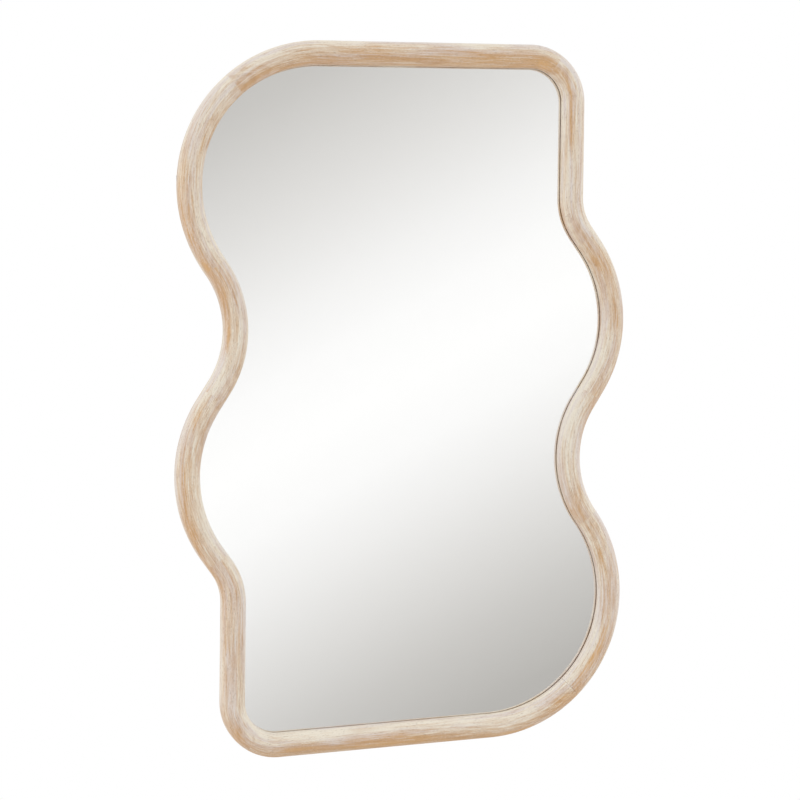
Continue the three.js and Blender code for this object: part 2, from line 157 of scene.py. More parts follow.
class WAVYMIRROR_PG_section(bpy.types.PropertyGroup):
    """The frame's section, the plates behind it and the fasteners"""

    face_width: length("Face width", "Width of the half-round front", 31)
    round_depth: length("Round depth", "Height of the half-round front", 12)
    lip_edge: length("Lip edge", "Upright foot of the lip, under the half-round", 4)
    glass_lap: length("Glass lap", "How far the lip reaches over the pane", 6)
    board_lap: length("Board lap", "Width of the ledge under the back board", 8)
    back_round: length("Back round", "Radius of the outer edge at the back", 2)
    back_recess: length("Back recess", "From the back board to the frame's back", 2.4)
    glass: length("Glass", "Thickness of the pane", 2)
    board: length("Board", "Thickness of the back board", 3)
    plate_play: length("Plate play", "Room round the pane and the back board", 0.5)
    stand_off: length("Stand-off", "From the frame's back to the wall", 6)
    seat_gap: length("Seat gap", "Gap between a piece and its seat", 0.3)
    bore_gap: length("Bore gap", "Gap round a screw or a tenon", 0.3)
    closed_seam: length("Closed seam", "Width of a seam whose glue is flush", 0.03)
    open_seam: length("Open seam", "Width of the seam that shows as a hairline", 0.26)
    screw: length("Screw", "Radius of a screw over its thread", 1.5)
    screw_length: length("Screw length", "Length of a screw under its head", 12)
    head: length("Screw head", "Radius of a screw's head", 2.8)


class WAVYMIRROR_PG_finish(bpy.types.PropertyGroup):
    """The colours of the mirror's materials"""

    bare_light: colour("Bare wood, light", "Early wood that the wash doesn't cover", 216, 180, 140)
    bare_dark: colour("Bare wood, dark", "Late wood that the wash doesn't cover", 184, 140, 100)
    golden: colour("Golden wood", "Warm patches where the wash is rubbed through", 216, 172, 120)
    wash: colour("Wash", "White wash where it lies thick", 241, 233, 217)
    wash_cool: colour("Wash, cool", "White wash where it dries greyer", 230, 221, 214)
    pore: colour("Pores", "Dark of the open pores", 128, 98, 76)
    beech: colour("Tenon wood", "Pale beech of the loose tenons", 203, 168, 124)
    silver: colour("Silver", "Silvering behind the glass", 249, 249, 248)
    paint: colour("Backing paint", "Grey paint behind the silver", 126, 130, 134)
    hardboard: colour("Hardboard", "Brown fibre board of the back", 122, 88, 60)
    zinc: colour("Zinc", "Bright zinc of screws and hangers", 196, 198, 202)
    rubber: colour("Rubber", "Grey rubber of the bumpers", 74, 74, 76)


class WAVYMIRROR_PG_studio(bpy.types.PropertyGroup):
    """Light, floor and camera"""

    ambient: amount("Ambient", "Even light from all round", 0.51)
    surround: amount("Surround", "Light added from the sides, above and below", 0.50)
    left_lamp: power("Left lamp", "Power of the soft lamp at the left", 12.0)
    right_lamp: power("Right lamp", "Power of the soft lamp at the right", 11.0)
    top_lamp: power("Top lamp", "Power of the soft lamp above", 7.0)
    floor_drop: length("Floor", "Depth of the floor below the frame's middle", 810, 5.0)
    lens: FloatProperty(
        name="Lens", description="Focal length of the camera", default=76.483, subtype="DISTANCE_CAMERA"
    )
    yaw: angle("Yaw", "How far the camera stands to the left of the mirror's middle", 15.3747)
    pitch: angle("Pitch", "How far the camera looks down", 1.8748)
    roll: angle("Roll", "Turn of the picture", -1.614)
    distance: length("Distance", "From the camera to the point it looks at", 2196.87, 10.0)


# ---------------------------------------------------------------- the frame's outer edge


def straight(run_length):
    return Run(run_length, 0.0)


def full(radius, turn):
    return Run(radius * turn, 1 / radius)


def hollow(radius, turn):
    return Run(radius * turn, -1 / radius)


def outward(heading):
    return -math.sin(heading), math.cos(heading)


def inset(place, distance):
    """The place moved inwards, square to its heading."""
    x, z = outward(place.heading)
    return Place(place.x - x * distance, place.z - z * distance, place.heading)


def advance(place, run, distance):
    """The place that lies a distance further along a run."""
    if run.bend == 0:
        x = place.x + math.cos(place.heading) * distance
        return Place(x, place.z + math.sin(place.heading) * distance, place.heading)
    centre = inset(place, 1 / run.bend)
    turned = Place(centre.x, centre.z, place.heading - run.bend * distance)
    return inset(turned, -1 / run.bend)


def walk(start, runs, step, first_trim=0.0, last_trim=0.0):
    """Places along some runs, no further apart than a step, pulled in at both ends."""
    places = []
    place = start
    for index, run in enumerate(runs):
        begin = first_trim if index == 0 else 0.0
        end = run.length - (last_trim if index == len(runs) - 1 else 0.0)
        count = math.ceil((end - begin) / step)
        for k in range(0 if index == 0 else 1, count + 1):
            places.append(advance(place, run, begin + (end - begin) * k / count))
        place = advance(place, run, run.length)
    return places


def along_runs(start, runs, distance=math.inf):
    """The place at a distance along some runs, or their end."""
    place = start
    for run in runs:
        place = advance(start, run, min(distance, run.length))
        if distance <= run.length:
            break
        distance -= run.length
        start = place
    return place


def half_turned(place):
    return Place(-place.x, -place.z, place.heading + math.pi)


def lay_out_segments(o):
    """The ten sawn segments of the frame, clockwise from the seam in the upper left corner."""
    lean, side_lean = o.wave_lean, o.side_lean
    sideways = 1 - math.cos(lean)
    arcs = o.shoulder + 2 * o.bulge + 2 * o.waist + o.big_corner
    ends = o.small_corner + o.shoulder
    side_drop = (
        o.height
        - o.small_corner
        - o.big_corner
        - ends * math.sin(side_lean)
        - arcs * math.sin(lean)
        - (o.upper_run + o.lower_run) * math.cos(lean)
    )
    side_run = side_drop / math.cos(side_lean)
    side_draw = ends * (1 - math.cos(side_lean)) + side_run * math.sin(side_lean)
    shoulder_reach = o.shoulder * sideways + o.upper_run * math.sin(lean) - side_draw
    bulge_reach = shoulder_reach + o.bulge * sideways
    corner_reach = shoulder_reach - o.lower_run * math.sin(lean) + o.big_corner * sideways
    side_x = o.width / 2 - max(bulge_reach, corner_reach)
    corner_x = side_x + corner_reach
    rail_run = corner_x - o.big_corner + side_x - o.small_corner

    x, z = outward(o.big_seam)
    start = Place(
        o.big_corner - corner_x + x * o.big_corner,
        o.height / 2 - o.big_corner + z * o.big_corner,
        o.big_seam,
    )
    upper, lower = straight(o.upper_run / 2), straight(o.lower_run / 2)
    rail = [full(o.big_corner, o.big_seam), straight(rail_run), full(o.small_corner, o.small_seam)]
    stile = [
        full(o.small_corner, math.pi / 2 + side_lean - o.small_seam),
        straight(side_run),
        hollow(o.shoulder, lean + side_lean),
        upper,
    ]
    half = [
        ("top_rail", "bottom_rail", rail, 2),
        ("right_stile", "left_stile", stile, 1),
        ("right_bulge", "left_bulge", [upper, full(o.bulge, 2 * lean), lower], 1),
        ("right_waist", "left_waist", [lower, hollow(o.waist, 2 * lean)], 1),
        ("right_corner", "left_corner", [full(o.big_corner, math.pi / 2 + lean - o.big_seam)], 1),
    ]
    first, second = [], []
    for name, opposite, runs, screws in half:
        first.append(Segment(name, start, runs, screws))
        second.append(Segment(opposite, half_turned(start), runs, screws))
        start = along_runs(start, runs)
    return first + second


class Depths:
    """Where things lie across the frame's section and from front to back."""

    def __init__(self, s):
        self.rabbet = s.face_width - s.glass_lap
        self.band = self.rabbet - s.board_lap
        self.ledge_middle = self.band + s.board_lap / 2
        seat = s.round_depth + s.lip_edge
        board_seat = seat + s.seat_gap + s.glass
        board_back = board_seat + s.seat_gap + s.board
        total = board_back + s.back_recess
        self.back = -s.stand_off
        self.front = self.back - total
        self.glass_seat = self.front + seat
        self.glass_front = self.glass_seat + s.seat_gap
        self.board_seat = self.front + board_seat
        self.board_front = self.board_seat + s.seat_gap
        self.board_back = self.front + board_back
        self.board_screw_seat = self.board_back + s.seat_gap
        self.hanger_screw_seat = self.back + STRAP_THICKNESS + 2 * s.seat_gap
        self.tenon_middle = self.front + TENON_DEPTH


def plan(scene):
    """The section's sizes, the depths that follow from them and the frame's segments."""
    s = scene.wavy_mirror_section
    return s, Depths(s), lay_out_segments(scene.wavy_mirror_outline)


# ---------------------------------------------------------------- mesh making


def smooth(mesh, degrees):
    """Shades smoothly over edges that turn by less than an angle."""
    mesh.shade_smooth()
    mesh.set_sharp_from_angle(angle=math.radians(degrees))


def new_object(name, vertices, faces, smooth_angle=None):
    mesh = bpy.data.meshes.new(name)
    mesh.from_pydata([tuple(v) for v in vertices], [], faces)
    mesh.validate()
    if smooth_angle is not None:
        smooth(mesh, smooth_angle)
    result = bpy.data.objects.new(name, mesh)
    bpy.context.scene.collection.objects.link(result)
    return result


def bands(count, size, closed=False):
    """Faces between each two neighbours of a count of rings, which have a size in vertices."""
    faces = []
    for near in range(count if closed else count - 1):
        low, high = near * size, (near + 1) % count * size
        for k in range(size):
            k2 = (k + 1) % size
            faces.append((low + k, low + k2, high + k2, high + k))
    return faces


def capped_bands(count, size):
    """Bands with a flat face on the first and the last ring."""
    last = range((count - 1) * size, count * size)
    return [*bands(count, size), tuple(reversed(range(size))), tuple(last)]


def sweep(places, section, closed=False):
    """Vertices and faces of a section of (y, out) points carried along places."""
    vertices = []
    for place in places:
        x, z = outward(place.heading)
        vertices += [(place.x + x * out, y, place.z + z * out) for y, out in section]
    count, size = len(places), len(section)
    return vertices, bands(count, size, closed=True) if closed else capped_bands(count, size)


def spun(first_y, rings, last_y):
    """Vertices and faces of rings round the Y axis, closed by a point on the axis at each end.

    A ring is its y and the radii of its vertices.
    """
    vertices, sides = [], len(rings[0][1])
    for y, radii in rings:
        for k, radius in enumerate(radii):
            turn = 2 * math.pi * k / sides
            vertices.append((radius * math.cos(turn), y, -radius * math.sin(turn)))
    end, last = len(vertices), len(vertices) - sides
    vertices += [(0.0, first_y, 0.0), (0.0, last_y, 0.0)]
    faces = bands(len(rings), sides)
    for k in range(sides):
        k2 = (k + 1) % sides
        faces += [(end, k2, k), (end + 1, last + k, last + k2)]
    return vertices, faces


def lathe(profile, sides):
    """Vertices and faces of a profile of (radius, y) points turned round the Y axis.

    The profile starts and ends on the axis.
    """
    rings = [(y, [radius] * sides) for radius, y in profile[1:-1]]
    return spun(profile[0][1], rings, profile[-1][1])


def joined(parts):
    """Several (vertices, faces) as one."""
    vertices, faces = [], []
    for more_vertices, more_faces in parts:
        offset = len(vertices)
        vertices += list(more_vertices)
        faces += [tuple(index + offset for index in face) for face in more_faces]
    return vertices, faces


def moved(part, matrix):
    vertices, faces = part
    return [matrix @ Vector(v) for v in vertices], faces


def bore(x, z, radius, front, back):
    """A round bar along Y, for cutting a hole."""
    profile = [(0, front), (radius, front), (radius, back), (0, back)]
    return moved(lathe(profile, 16), Matrix.Translation((x, 0, z)))


def cut(target, parts, smooth_angle):
    """Cuts some (vertices, faces) out of an object."""
    cutter = new_object("cutter", *joined(parts))
    modifier = target.modifiers.new("cuts", "BOOLEAN")
    modifier.operation = "DIFFERENCE"
    modifier.solver = "EXACT"
    modifier.object = cutter
    bpy.context.view_layer.update()
    graph = bpy.context.evaluated_depsgraph_get()
    mesh = bpy.data.meshes.new_from_object(target.evaluated_get(graph))
    mesh.name = target.name
    target.modifiers.clear()
    old = target.data
    target.data = mesh
    bpy.data.meshes.remove(old)
    bpy.data.meshes.remove(cutter.data)
    smooth(mesh, smooth_angle)


def arc(centre, radii, first, last, steps):
    """Points of an elliptical arc as (centre0 + radius0 cos, centre1 + radius1 sin)."""
    points = []
    for k in range(steps + 1):
        turn = math.radians(first + (last - first) * k / steps)
        points.append((centre[0] + radii[0] * math.cos(turn), centre[1] + radii[1] * math.sin(turn)))
    return points


def coordinates(target):
    flat = np.zeros(len(target.data.vertices) * 3)
    target.data.vertices.foreach_get("co", flat)
    return flat.reshape(-1, 3)


def store(target, name, values):
    """Keeps a vector for each vertex, for the material to read."""
    attribute = target.data.attributes.new(name, "FLOAT_VECTOR", "POINT")
    attribute.data.foreach_set("vector", np.asarray(values, np.float32).ravel())


def dress(target, material, body, slot, *nodes):
    """Gives a piece its material, its body and the CAD nodes that it stands for."""
    target.data.materials.clear()
    target.data.materials.append(material)
    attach(target, body)
    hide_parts(*nodes)


# ---------------------------------------------------------------- material making


def put(tree, kind, inputs=None, **settings):
    """A new node with its settings. Inputs are values or sockets to link."""
    node = tree.nodes.new(kind)
    for key, value in settings.items():
        setattr(node, key, value)
    for key, value in (inputs or {}).items():
        if isinstance(value, bpy.types.NodeSocket):
            tree.links.new(value, node.inputs[key])
        else:
            node.inputs[key].default_value = value
    return node


def maths(tree, operation, first, second=0.0, clamp=False):
    node = put(tree, "ShaderNodeMath", {0: first, 1: second}, operation=operation, use_clamp=clamp)
    return node.outputs[0]


def weighted(tree, start, *terms):
    """Start plus the sum of value * weight."""
    total = start
    for value, weight in terms:
        node = put(tree, "ShaderNodeMath", {0: value, 1: weight, 2: total}, operation="MULTIPLY_ADD")
        total = node.outputs[0]
    return total


def blend_colours(tree, share, first, second):
    node = put(tree, "ShaderNodeMix", {0: share, 6: first, 7: second}, data_type="RGBA")
    return node.outputs[2]


def noise(tree, place, size, detail=2.0, roughness=0.5, shift=0.0):
    """Noise between 0 and 1, about 0.5, whose lumps have a size in the place's units."""
    scaled = put(
        tree,
        "ShaderNodeVectorMath",
        {0: place, 1: tuple(1 / s for s in size), 2: (shift, shift * 1.7, shift * 0.6)},
        operation="MULTIPLY_ADD",
    )
    node = put(
        tree,
        "ShaderNodeTexNoise",
        {"Vector": scaled.outputs[0], "Scale": 1.0, "Detail": detail, "Roughness": roughness},
    )
    return node.outputs["Fac"]


def between(tree, value, low, high, to_low=0.0, to_high=1.0):
    """A smooth step of a value from low to high."""
    inputs = {"Value": value, "From Min": low, "From Max": high, "To Min": to_low, "To Max": to_high}
    node = put(tree, "ShaderNodeMapRange", inputs, interpolation_type="SMOOTHSTEP")
    return node.outputs[0]


def mix_shaders(tree, share, first, second):
    inputs = {0: share, 1: first.outputs[0], 2: second.outputs[0]}
    return put(tree, "ShaderNodeMixShader", inputs)


def split(tree, vector):
    return put(tree, "ShaderNodeSeparateXYZ", {0: vector}).outputs


def rgba(value):
    return (*value, 1.0)


def new_material(name, **values):
    """A material with a Principled shader. Returns it with its tree and shader."""
    material = bpy.data.materials.new(name)
    material.use_nodes = True
    tree = material.node_tree
    shader = tree.nodes["Principled BSDF"]
    for key, value in values.items():
        shader.inputs[key.replace("_", " ")].default_value = value
    return material, tree, shader


def coat(tree, shader, colour, roughness=None, height=None, depth=0.0, strength=1.0):
    """Links a shader's colour, its roughness, and a height from 0 to 1 over a depth in metres."""
    tree.links.new(colour, shader.inputs["Base Color"])
    if roughness is not None:
        tree.links.new(roughness, shader.inputs["Roughness"])
    if height is not None:
        node = put(tree, "ShaderNodeBump", {"Height": height, "Distance": depth, "Strength": strength})
        tree.links.new(node.outputs["Normal"], shader.inputs["Normal"])


def shaded(colour, share):
    """A colour made darker or lighter by a share."""
    return tuple(min(1.0, c * share) for c in colour)


def object_place(tree):
    """The place on the part in millimetres."""
    place = put(tree, "ShaderNodeTexCoord").outputs["Object"]
    node = put(tree, "ShaderNodeVectorMath", {0: place, "Scale": 1 / MM}, operation="SCALE")
    return node.outputs[0]


def whitewashed_wood(finish):
    """Open-pored wood under a brushed white wash.

    The attribute "grain" is the place in the segment's own board, in millimetres, with x along
    the fibres. "face" holds the distance along the segment, the distance over its round front, both
    in millimetres, and the share of wash, which carries painted light: larger where the surface faces
    up or to the right, smaller where it faces down. "wear" holds the bare and the golden share of the
    rubbed spots.
    """
    material, tree, shader = new_material("whitewashed_wood", IOR=1.46, Specular_IOR_Level=0.35)
    grain, face, wear = (
        put(tree, "ShaderNodeAttribute", attribute_name=name).outputs["Vector"]
        for name in ("grain", "face", "wear")
    )
    board = split(tree, grain)
    facing = split(tree, face)[2]
    bare_spot, golden_spot, _ = split(tree, wear)

    drift = noise(tree, grain, (210, 42, 42), 2.0, 0.5, 3.1)
    layers = weighted(tree, 0.0, (board[0], 0.021), (board[1], 0.62), (board[2], 0.78), (drift, 14.0))
    phase = maths(tree, "FRACT", maths(tree, "DIVIDE", layers, 6.4))
    rise = between(tree, phase, 0.15, 0.86)
    fall = between(tree, phase, 0.9, 1.0)
    late = maths(tree, "SUBTRACT", rise, fall, clamp=True)

    fibres = noise(tree, grain, (28, 1.2, 1.2), 3.0, 0.66, 11.0)
    streaks = noise(tree, grain, (60, 4.2, 4.2), 2.0, 0.5, 23.0)
    pores = noise(tree, grain, (4.5, 0.75, 0.75), 2.0, 0.6, 37.0)
    flecks = noise(tree, face, (2.0, 0.8, 1000), 2.0, 0.7, 51.0)
    tone = noise(tree, grain, (150, 30, 30), 2.0, 0.5, 67.0)
    veil = noise(tree, face, (110, 9, 1000), 2.0, 0.6, 131.0)
    rubbed = noise(tree, face, (75, 11, 1000), 3.0, 0.6, 83.0)
    brush = noise(tree, face, (70, 2.0, 1000), 3.0, 0.6, 97.0)
    hairs = noise(tree, face, (24, 0.6, 1000), 3.0, 0.72, 113.0)

    ragged = weighted(tree, -0.6, (fibres, 1.6), (rubbed, 1.6))

    open_pore = between(tree, pores, 0.58, 0.70)
    white_fleck = between(tree, flecks, 0.58, 0.70)

    bare_share = weighted(tree, -0.42, (late, 0.28), (fibres, 0.95), (tone, 0.6))
    bare = blend_colours(tree, bare_share, rgba(finish.bare_light), rgba(finish.bare_dark))
    golden_share = weighted(tree, golden_spot, (between(tree, tone, 0.50, 0.66), 0.45))
    bare = blend_colours(tree, golden_share, bare, rgba(finish.golden))

    noises = (fibres, -0.45), (streaks, -0.25), (tone, -0.7), (rubbed, -0.95), (brush, 1.35), (hairs, 2.1)
    centring = -0.5 * sum(weight for _, weight in noises)
    marks = (late, -0.07), (white_fleck, 0.45), (maths(tree, "MULTIPLY", bare_spot, ragged), -1.0)
    # Painted light: the stored facing share whitens faces that look up or to the right and leaves faces that
    # look down barer and more orange.
    wash_and_light_share = weighted(tree, facing, (1.0, centring), *noises, *marks)
    wash_and_light_share = maths(tree, "MAXIMUM", maths(tree, "MINIMUM", wash_and_light_share, 0.97), 0.03)
    wash = blend_colours(tree, between(tree, veil, 0.42, 0.60), rgba(finish.wash), rgba(finish.wash_cool))
    washed = blend_colours(tree, wash_and_light_share, bare, wash)
    final = blend_colours(tree, maths(tree, "MULTIPLY", open_pore, 0.42), washed, rgba(finish.pore))

    dullness = weighted(tree, 0.375, (fibres, 0.25), (open_pore, 0.12))
    height = weighted(tree, 0.5, (fibres, 0.5), (open_pore, -0.6), (late, 0.15), (white_fleck, 0.12))
    coat(tree, shader, final, dullness, height, 0.12 * MM, 0.8)
    return material


def beech(finish):
    """Plain planed wood of the loose tenons."""
    material, tree, shader = new_material("tenon_beech", Roughness=0.62)
    place = object_place(tree)
    fibres = noise(tree, place, (3.0, 0.9, 0.9), 3.0, 0.6, 5.0)
    rays = noise(tree, place, (1.2, 3.0, 1.2), 2.0, 0.6, 9.0)
    share = weighted(tree, -0.35, (fibres, 1.1), (rays, 0.5))
    base = blend_colours(tree, share, rgba(finish.beech), rgba(shaded(finish.beech, 0.72)))
    coat(tree, shader, base, None, fibres, 0.05 * MM, 0.6)
    return material


def clear_glass():
    """The pane's front: a faint gloss over glass that lets everything else pass.

    Matt surfaces see it as pale, so that they get back the light that the silver sends them.
    """
    material, tree, shader = new_material(
        "clear_glass", Metallic=1.0, Roughness=0.0, Alpha=0.05, Base_Color=rgba(WHITE)
    )
    path = put(tree, "ShaderNodeLightPath").outputs["Is Diffuse Ray"]
    matt = put(tree, "ShaderNodeBsdfDiffuse", {"Color": rgba(shaded(WHITE, 0.9))})
    mix = mix_shaders(tree, path, shader, matt)
    tree.links.new(mix.outputs[0], tree.nodes["Material Output"].inputs["Surface"])
    return material


def silvering(finish):
    return new_material("silvering", Metallic=1.0, Roughness=0.0, Base_Color=rgba(finish.silver))[0]


def backing_paint(finish):
    """Grey paint that keeps the silver from tarnishing."""
    material, tree, shader = new_material("backing_paint", Roughness=0.6)
    clouds = noise(tree, object_place(tree), (9.0, 9.0, 9.0), 3.0, 0.6, 12.0)
    dark = rgba(shaded(finish.paint, 0.8))
    coat(tree, shader, blend_colours(tree, clouds, dark, rgba(finish.paint)))
    return material


def hardboard(finish):
    """Pressed brown fibre board, smooth but matt, with pale and dark fibres."""
    material, tree, shader = new_material("hardboard", Roughness=0.7, Specular_IOR_Level=0.3)
    place = object_place(tree)
    fibres = noise(tree, place, (1.4, 1.4, 1.4), 4.0, 0.7, 4.0)
    clouds = noise(tree, place, (60, 60, 60), 3.0, 0.5, 8.0)
    mesh_marks = noise(tree, place, (0.7, 0.7, 3.5), 2.0, 0.6, 15.0)
    light, dark = rgba(shaded(finish.hardboard, 1.55)), rgba(shaded(finish.hardboard, 0.62))
    base = blend_colours(tree, weighted(tree, -0.45, (fibres, 1.2), (clouds, 0.6)), dark, light)
    base = blend_colours(tree, between(tree, mesh_marks, 0.62, 0.75, 0.0, 0.5), base, light)
    coat(tree, shader, base, weighted(tree, 0.55, (clouds, 0.25)), fibres, 0.06 * MM, 0.7)
    return material


def zinc_steel(finish):
    """Bright zinc plating with a faint cloudy passivation and fine drawing marks."""
    material, tree, shader = new_material("zinc_steel", Metallic=1.0, Roughness=0.32)
    place = object_place(tree)
    clouds = noise(tree, place, (3.0, 3.0, 3.0), 3.0, 0.6, 2.0)
    marks = noise(tree, place, (0.25, 0.25, 2.5), 2.0, 0.6, 6.0)
    warm = rgba(c * share for c, share in zip(finish.zinc, (1.02, 0.95, 0.82)))
    cool = rgba(shaded(finish.zinc, 0.86))
    base = blend_colours(tree, between(tree, clouds, 0.35, 0.7), rgba(finish.zinc), warm)
    base = blend_colours(tree, between(tree, marks, 0.5, 0.8, 0.0, 0.6), base, cool)
    dullness = weighted(tree, 0.18, (clouds, 0.2), (marks, 0.14))
    coat(tree, shader, base, dullness, marks, 0.01 * MM, 0.6)
    return material


def grey_rubber(finish):
    material, tree, shader = new_material("grey_rubber", Roughness=0.8, Specular_IOR_Level=0.3)
    place = object_place(tree)
    grit = noise(tree, place, (0.35, 0.35, 0.35), 3.0, 0.7, 1.0)
    dust = noise(tree, place, (4.0, 4.0, 4.0), 3.0, 0.6, 3.0)
    pale = rgba(shaded(finish.rubber, 1.7))
    base = blend_colours(tree, between(tree, dust, 0.4, 0.8, 0.0, 0.6), rgba(finish.rubber), pale)
    coat(tree, shader, base, weighted(tree, 0.68, (grit, 0.2)), grit, 0.04 * MM, 0.8)
    return material


def shared_material(name, maker, *values):
    """The material of that name, made on first use."""
    return bpy.data.materials.get(name) or maker(*values)


# ---------------------------------------------------------------- wooden frame

FRAME_STEP = 4 * MM
FRAME_EASE = 0.18 * MM
OPEN_SEAM = ("right_corner", "bottom_rail")
TENON_RADIUS = 3 * MM
TENON_HALF_WIDTH = 4 * MM
TENON_HALF_LENGTH = 18 * MM
TENON_DEPTH = 11 * MM
HOLE_SPARE = 0.6 * MM
CUT_REACH = 20 * MM
BOARD_SHIFT = (313.0, 171.0, 97.0)  # millimetres from one segment's grain to the next one's
FACE_SHIFT = 900
EDGE_WASH = 0.38
BACK_WASH = 0.55


def frame_section(s, d):
    """The frame's section as (y, out) points, anticlockwise, from the outer edge over the front."""
    half = s.face_width / 2
    ease = FRAME_EASE
    front = arc((d.front + s.round_depth, -half), (s.round_depth, half), 90, 270, 36)
    corner = (d.back - s.back_round, -s.back_round)
    return [
        *front,
        (d.glass_seat - ease, -s.face_width),
        (d.glass_seat, -s.face_width + ease),
        (d.glass_seat, -d.rabbet),
        (d.board_seat, -d.rabbet),
        (d.board_seat, -d.band - ease),
        (d.board_seat + ease, -d.band),
        (d.back - ease, -d.band),
        (d.back, -d.band - ease),
        *arc(corner, (s.back_round, s.back_round), 0, 90, 8),
    ]


def tenon_places(segments, s):
    for index, segment in enumerate(segments):
        before = segments[index - 1]
        yield f"tenon_{before.name}_to_{segment.name}", inset(segment.start, s.face_width / 2)


def mortise(place, s, d):
    """The pocket that a tenon lies in, across a seam."""
    radius, half_length = TENON_RADIUS + s.bore_gap, TENON_HALF_LENGTH + s.bore_gap
    section = arc((0, TENON_HALF_WIDTH), (radius, radius), 0, 180, 8)
    section += arc((0, -TENON_HALF_WIDTH), (radius, radius), 180, 360, 8)
    part = sweep([Place(-half_length, 0, 0), Place(half_length, 0, 0)], section)
    turn = Matrix.Rotation(-place.heading, 4, "Y")
    return moved(part, Matrix.Translation((place.x, d.tenon_middle, place.z)) @ turn)


def board_screw_places(segments, d):
    for segment in segments:
        total = sum(run.length for run in segment.runs)
        for k in range(segment.screws):
            distance = total * (k + 0.5) / segment.screws
            yield inset(along_runs(segment.start, segment.runs, distance), d.ledge_middle)


HANGER_SCREWS = [f"{side}_hanger_screw_{level}" for side in ("left", "right") for level in ("upper", "lower")]


def place_of(node):
    """The middle of a CAD node, on the wall plane."""
    low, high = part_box(node)
    return (low.x + high.x) / 2, (low.z + high.z) / 2


def frame_cuts(segments, s, d):
    """Mortises and screw holes, each with its place so that a segment takes its own."""
    radius = s.screw + s.bore_gap
    depth = s.screw_length + HOLE_SPARE
    cuts = [(place.x, place.z, mortise(place, s, d)) for _, place in tenon_places(segments, s)]
    for place in board_screw_places(segments, d):
        front = d.board_screw_seat - depth
        cuts.append((place.x, place.z, bore(place.x, place.z, radius, front, 0)))
    for x, z in map(place_of, HANGER_SCREWS):
        cuts.append((x, z, bore(x, z, radius, d.hanger_screw_seat - depth, 0)))
    return cuts


def facing_share(x, z, sideways, inner):
    """The share of wash by a surface's facing, with painted light in it: most where it faces up or to
    the right, where light falls, and least where it faces down, in shade.

    Sideways is how far the frame's outward direction points to a side there, and inner rises from
    0 to 1 across its face.
    """
    up, down = np.maximum(z, 0), np.maximum(-z, 0)
    right, left = np.maximum(x, 0), np.maximum(-x, 0)
    share = 0.42 + 0.16 * np.abs(sideways)
    # Painted light: more wash where the surface faces up or to the right, less where it faces down.
    share += 0.62 * np.tanh(up / 0.6) - 0.27 * np.tanh(down / 0.22) + 0.22 * right
    return share + 0.25 * left * (2 * inner - 1)


# Rubbed spots, as (along the segment, in from its outer edge, half length, half width, bare,
# golden), in millimetres and shares
WORN_SPOTS = {
    "top_rail": (
        (444, 26, 20, 4.0, 0.25, 0.8),
        (18, 27, 26, 4.0, 0.3, 0.2),
        (3, 5, 5, 3.5, 0.35, 0.1),
        (23, 7, 5, 3.0, 0.3, 0.1),
        (250, 24, 60, 2.2, 0.2, 0.3),
    ),
    "right_stile": (
        (7, 23, 16, 4.0, 0.3, 0.5),
        (53, 22, 26, 3.2, 0.45, 0.55),
        (92, 22, 24, 3.4, 0.45, 0.6),
        (124, 20, 18, 3.0, 0.35, 0.5),
        (210, 8, 20, 2.4, 0.25, 0.2),
    ),
    "right_bulge": ((27, 24, 22, 3.5, 0.35, 0.5), (150, 12, 40, 1.8, 0.2, 0.2)),
    "right_waist": ((6, 23, 18, 3.4, 0.35, 0.5), (100, 9, 24, 1.8, 0.2, 0.3)),
    "right_corner": (
        (159, 20, 22, 4.0, 0.3, 0.6),
        (198, 18, 24, 5.0, 0.4, 0.9),
        (231, 18, 24, 5.0, 0.4, 0.9),
        (60, 24, 30, 2.4, 0.2, 0.3),
    ),
    "bottom_rail": (
        (103, 3.6, 34, 2.6, 0.3, 0.7),
        (300, 6, 60, 2.2, 0.2, 0.4),
        (400, 10, 26, 2.0, 0.25, 0.3),
    ),
    "left_stile": (
        (24, 9, 16, 2.4, 0.3, 0.3),
        (30, 14, 14, 1.6, 0.25, 0.1),
        (150, 20, 40, 2.2, 0.2, 0.4),
    ),
    "left_bulge": ((207, 9.7, 26, 3.0, 0.35, 0.8), (122, 10, 24, 2.4, 0.3, 0.4)),
    "left_waist": (
        (117, 17.7, 16, 1.6, 0.4, 0.1),
        (86, 14.6, 18, 1.6, 0.4, 0.1),
        (128, 11, 14, 2.6, 0.3, 0.3),
        (75, 4.7, 18, 2.6, 0.3, 0.8),
        (3, 4.4, 12, 2.6, 0.3, 0.7),
    ),
    "left_corner": ((49, 6, 24, 3.0, 0.35, 0.4), (5, 4.4, 14, 3.0, 0.3, 0.8), (180, 22, 40, 2.2, 0.2, 0.3)),
}


class Band:
    """Where a segment's vertices lie along it and across its face, from its outer edge."""

    def __init__(self, points, segment, face_width):
        places = walk(segment.start, segment.runs, 1 * MM)
        edge = np.array([(p.x, p.z) for p in places])
        out = np.array([outward(p.heading) for p in places])
        travelled = np.r_[0, np.cumsum(np.linalg.norm(np.diff(edge, axis=0), axis=1))]
        middle = edge - out * face_width / 2
        self.flat = points[:, [0, 2]]
        nearest = np.array([((point - middle) ** 2).sum(1).argmin() for point in self.flat])
        self.out = out[nearest]
        self.across = ((edge[nearest] - self.flat) * self.out).sum(1)
        self.along = travelled[nearest]
        self.centre = (edge[0] + edge[-1]) / 2


def wash_and_painted_light(band, on_front, s):
    """The share of wash for each vertex, with painted light by its facing on the half-round front."""
    half_width = s.face_width / 2
    lift = np.clip(1 - band.across / half_width, -1, 1)
    slope_out, slope_y = lift / half_width, -np.sqrt(1 - lift**2) / s.round_depth
    size = np.hypot(slope_out, slope_y)
    x, z = (band.out * (slope_out / size)[:, None]).T
    inner = np.clip(band.across / s.face_width, 0, 1)
    inner = inner * inner * (3 - 2 * inner)
    share = facing_share(x, z, band.out[:, 0], inner) + EDGE_WASH * np.exp(-band.across / MM)
    return np.where(on_front, share, BACK_WASH)


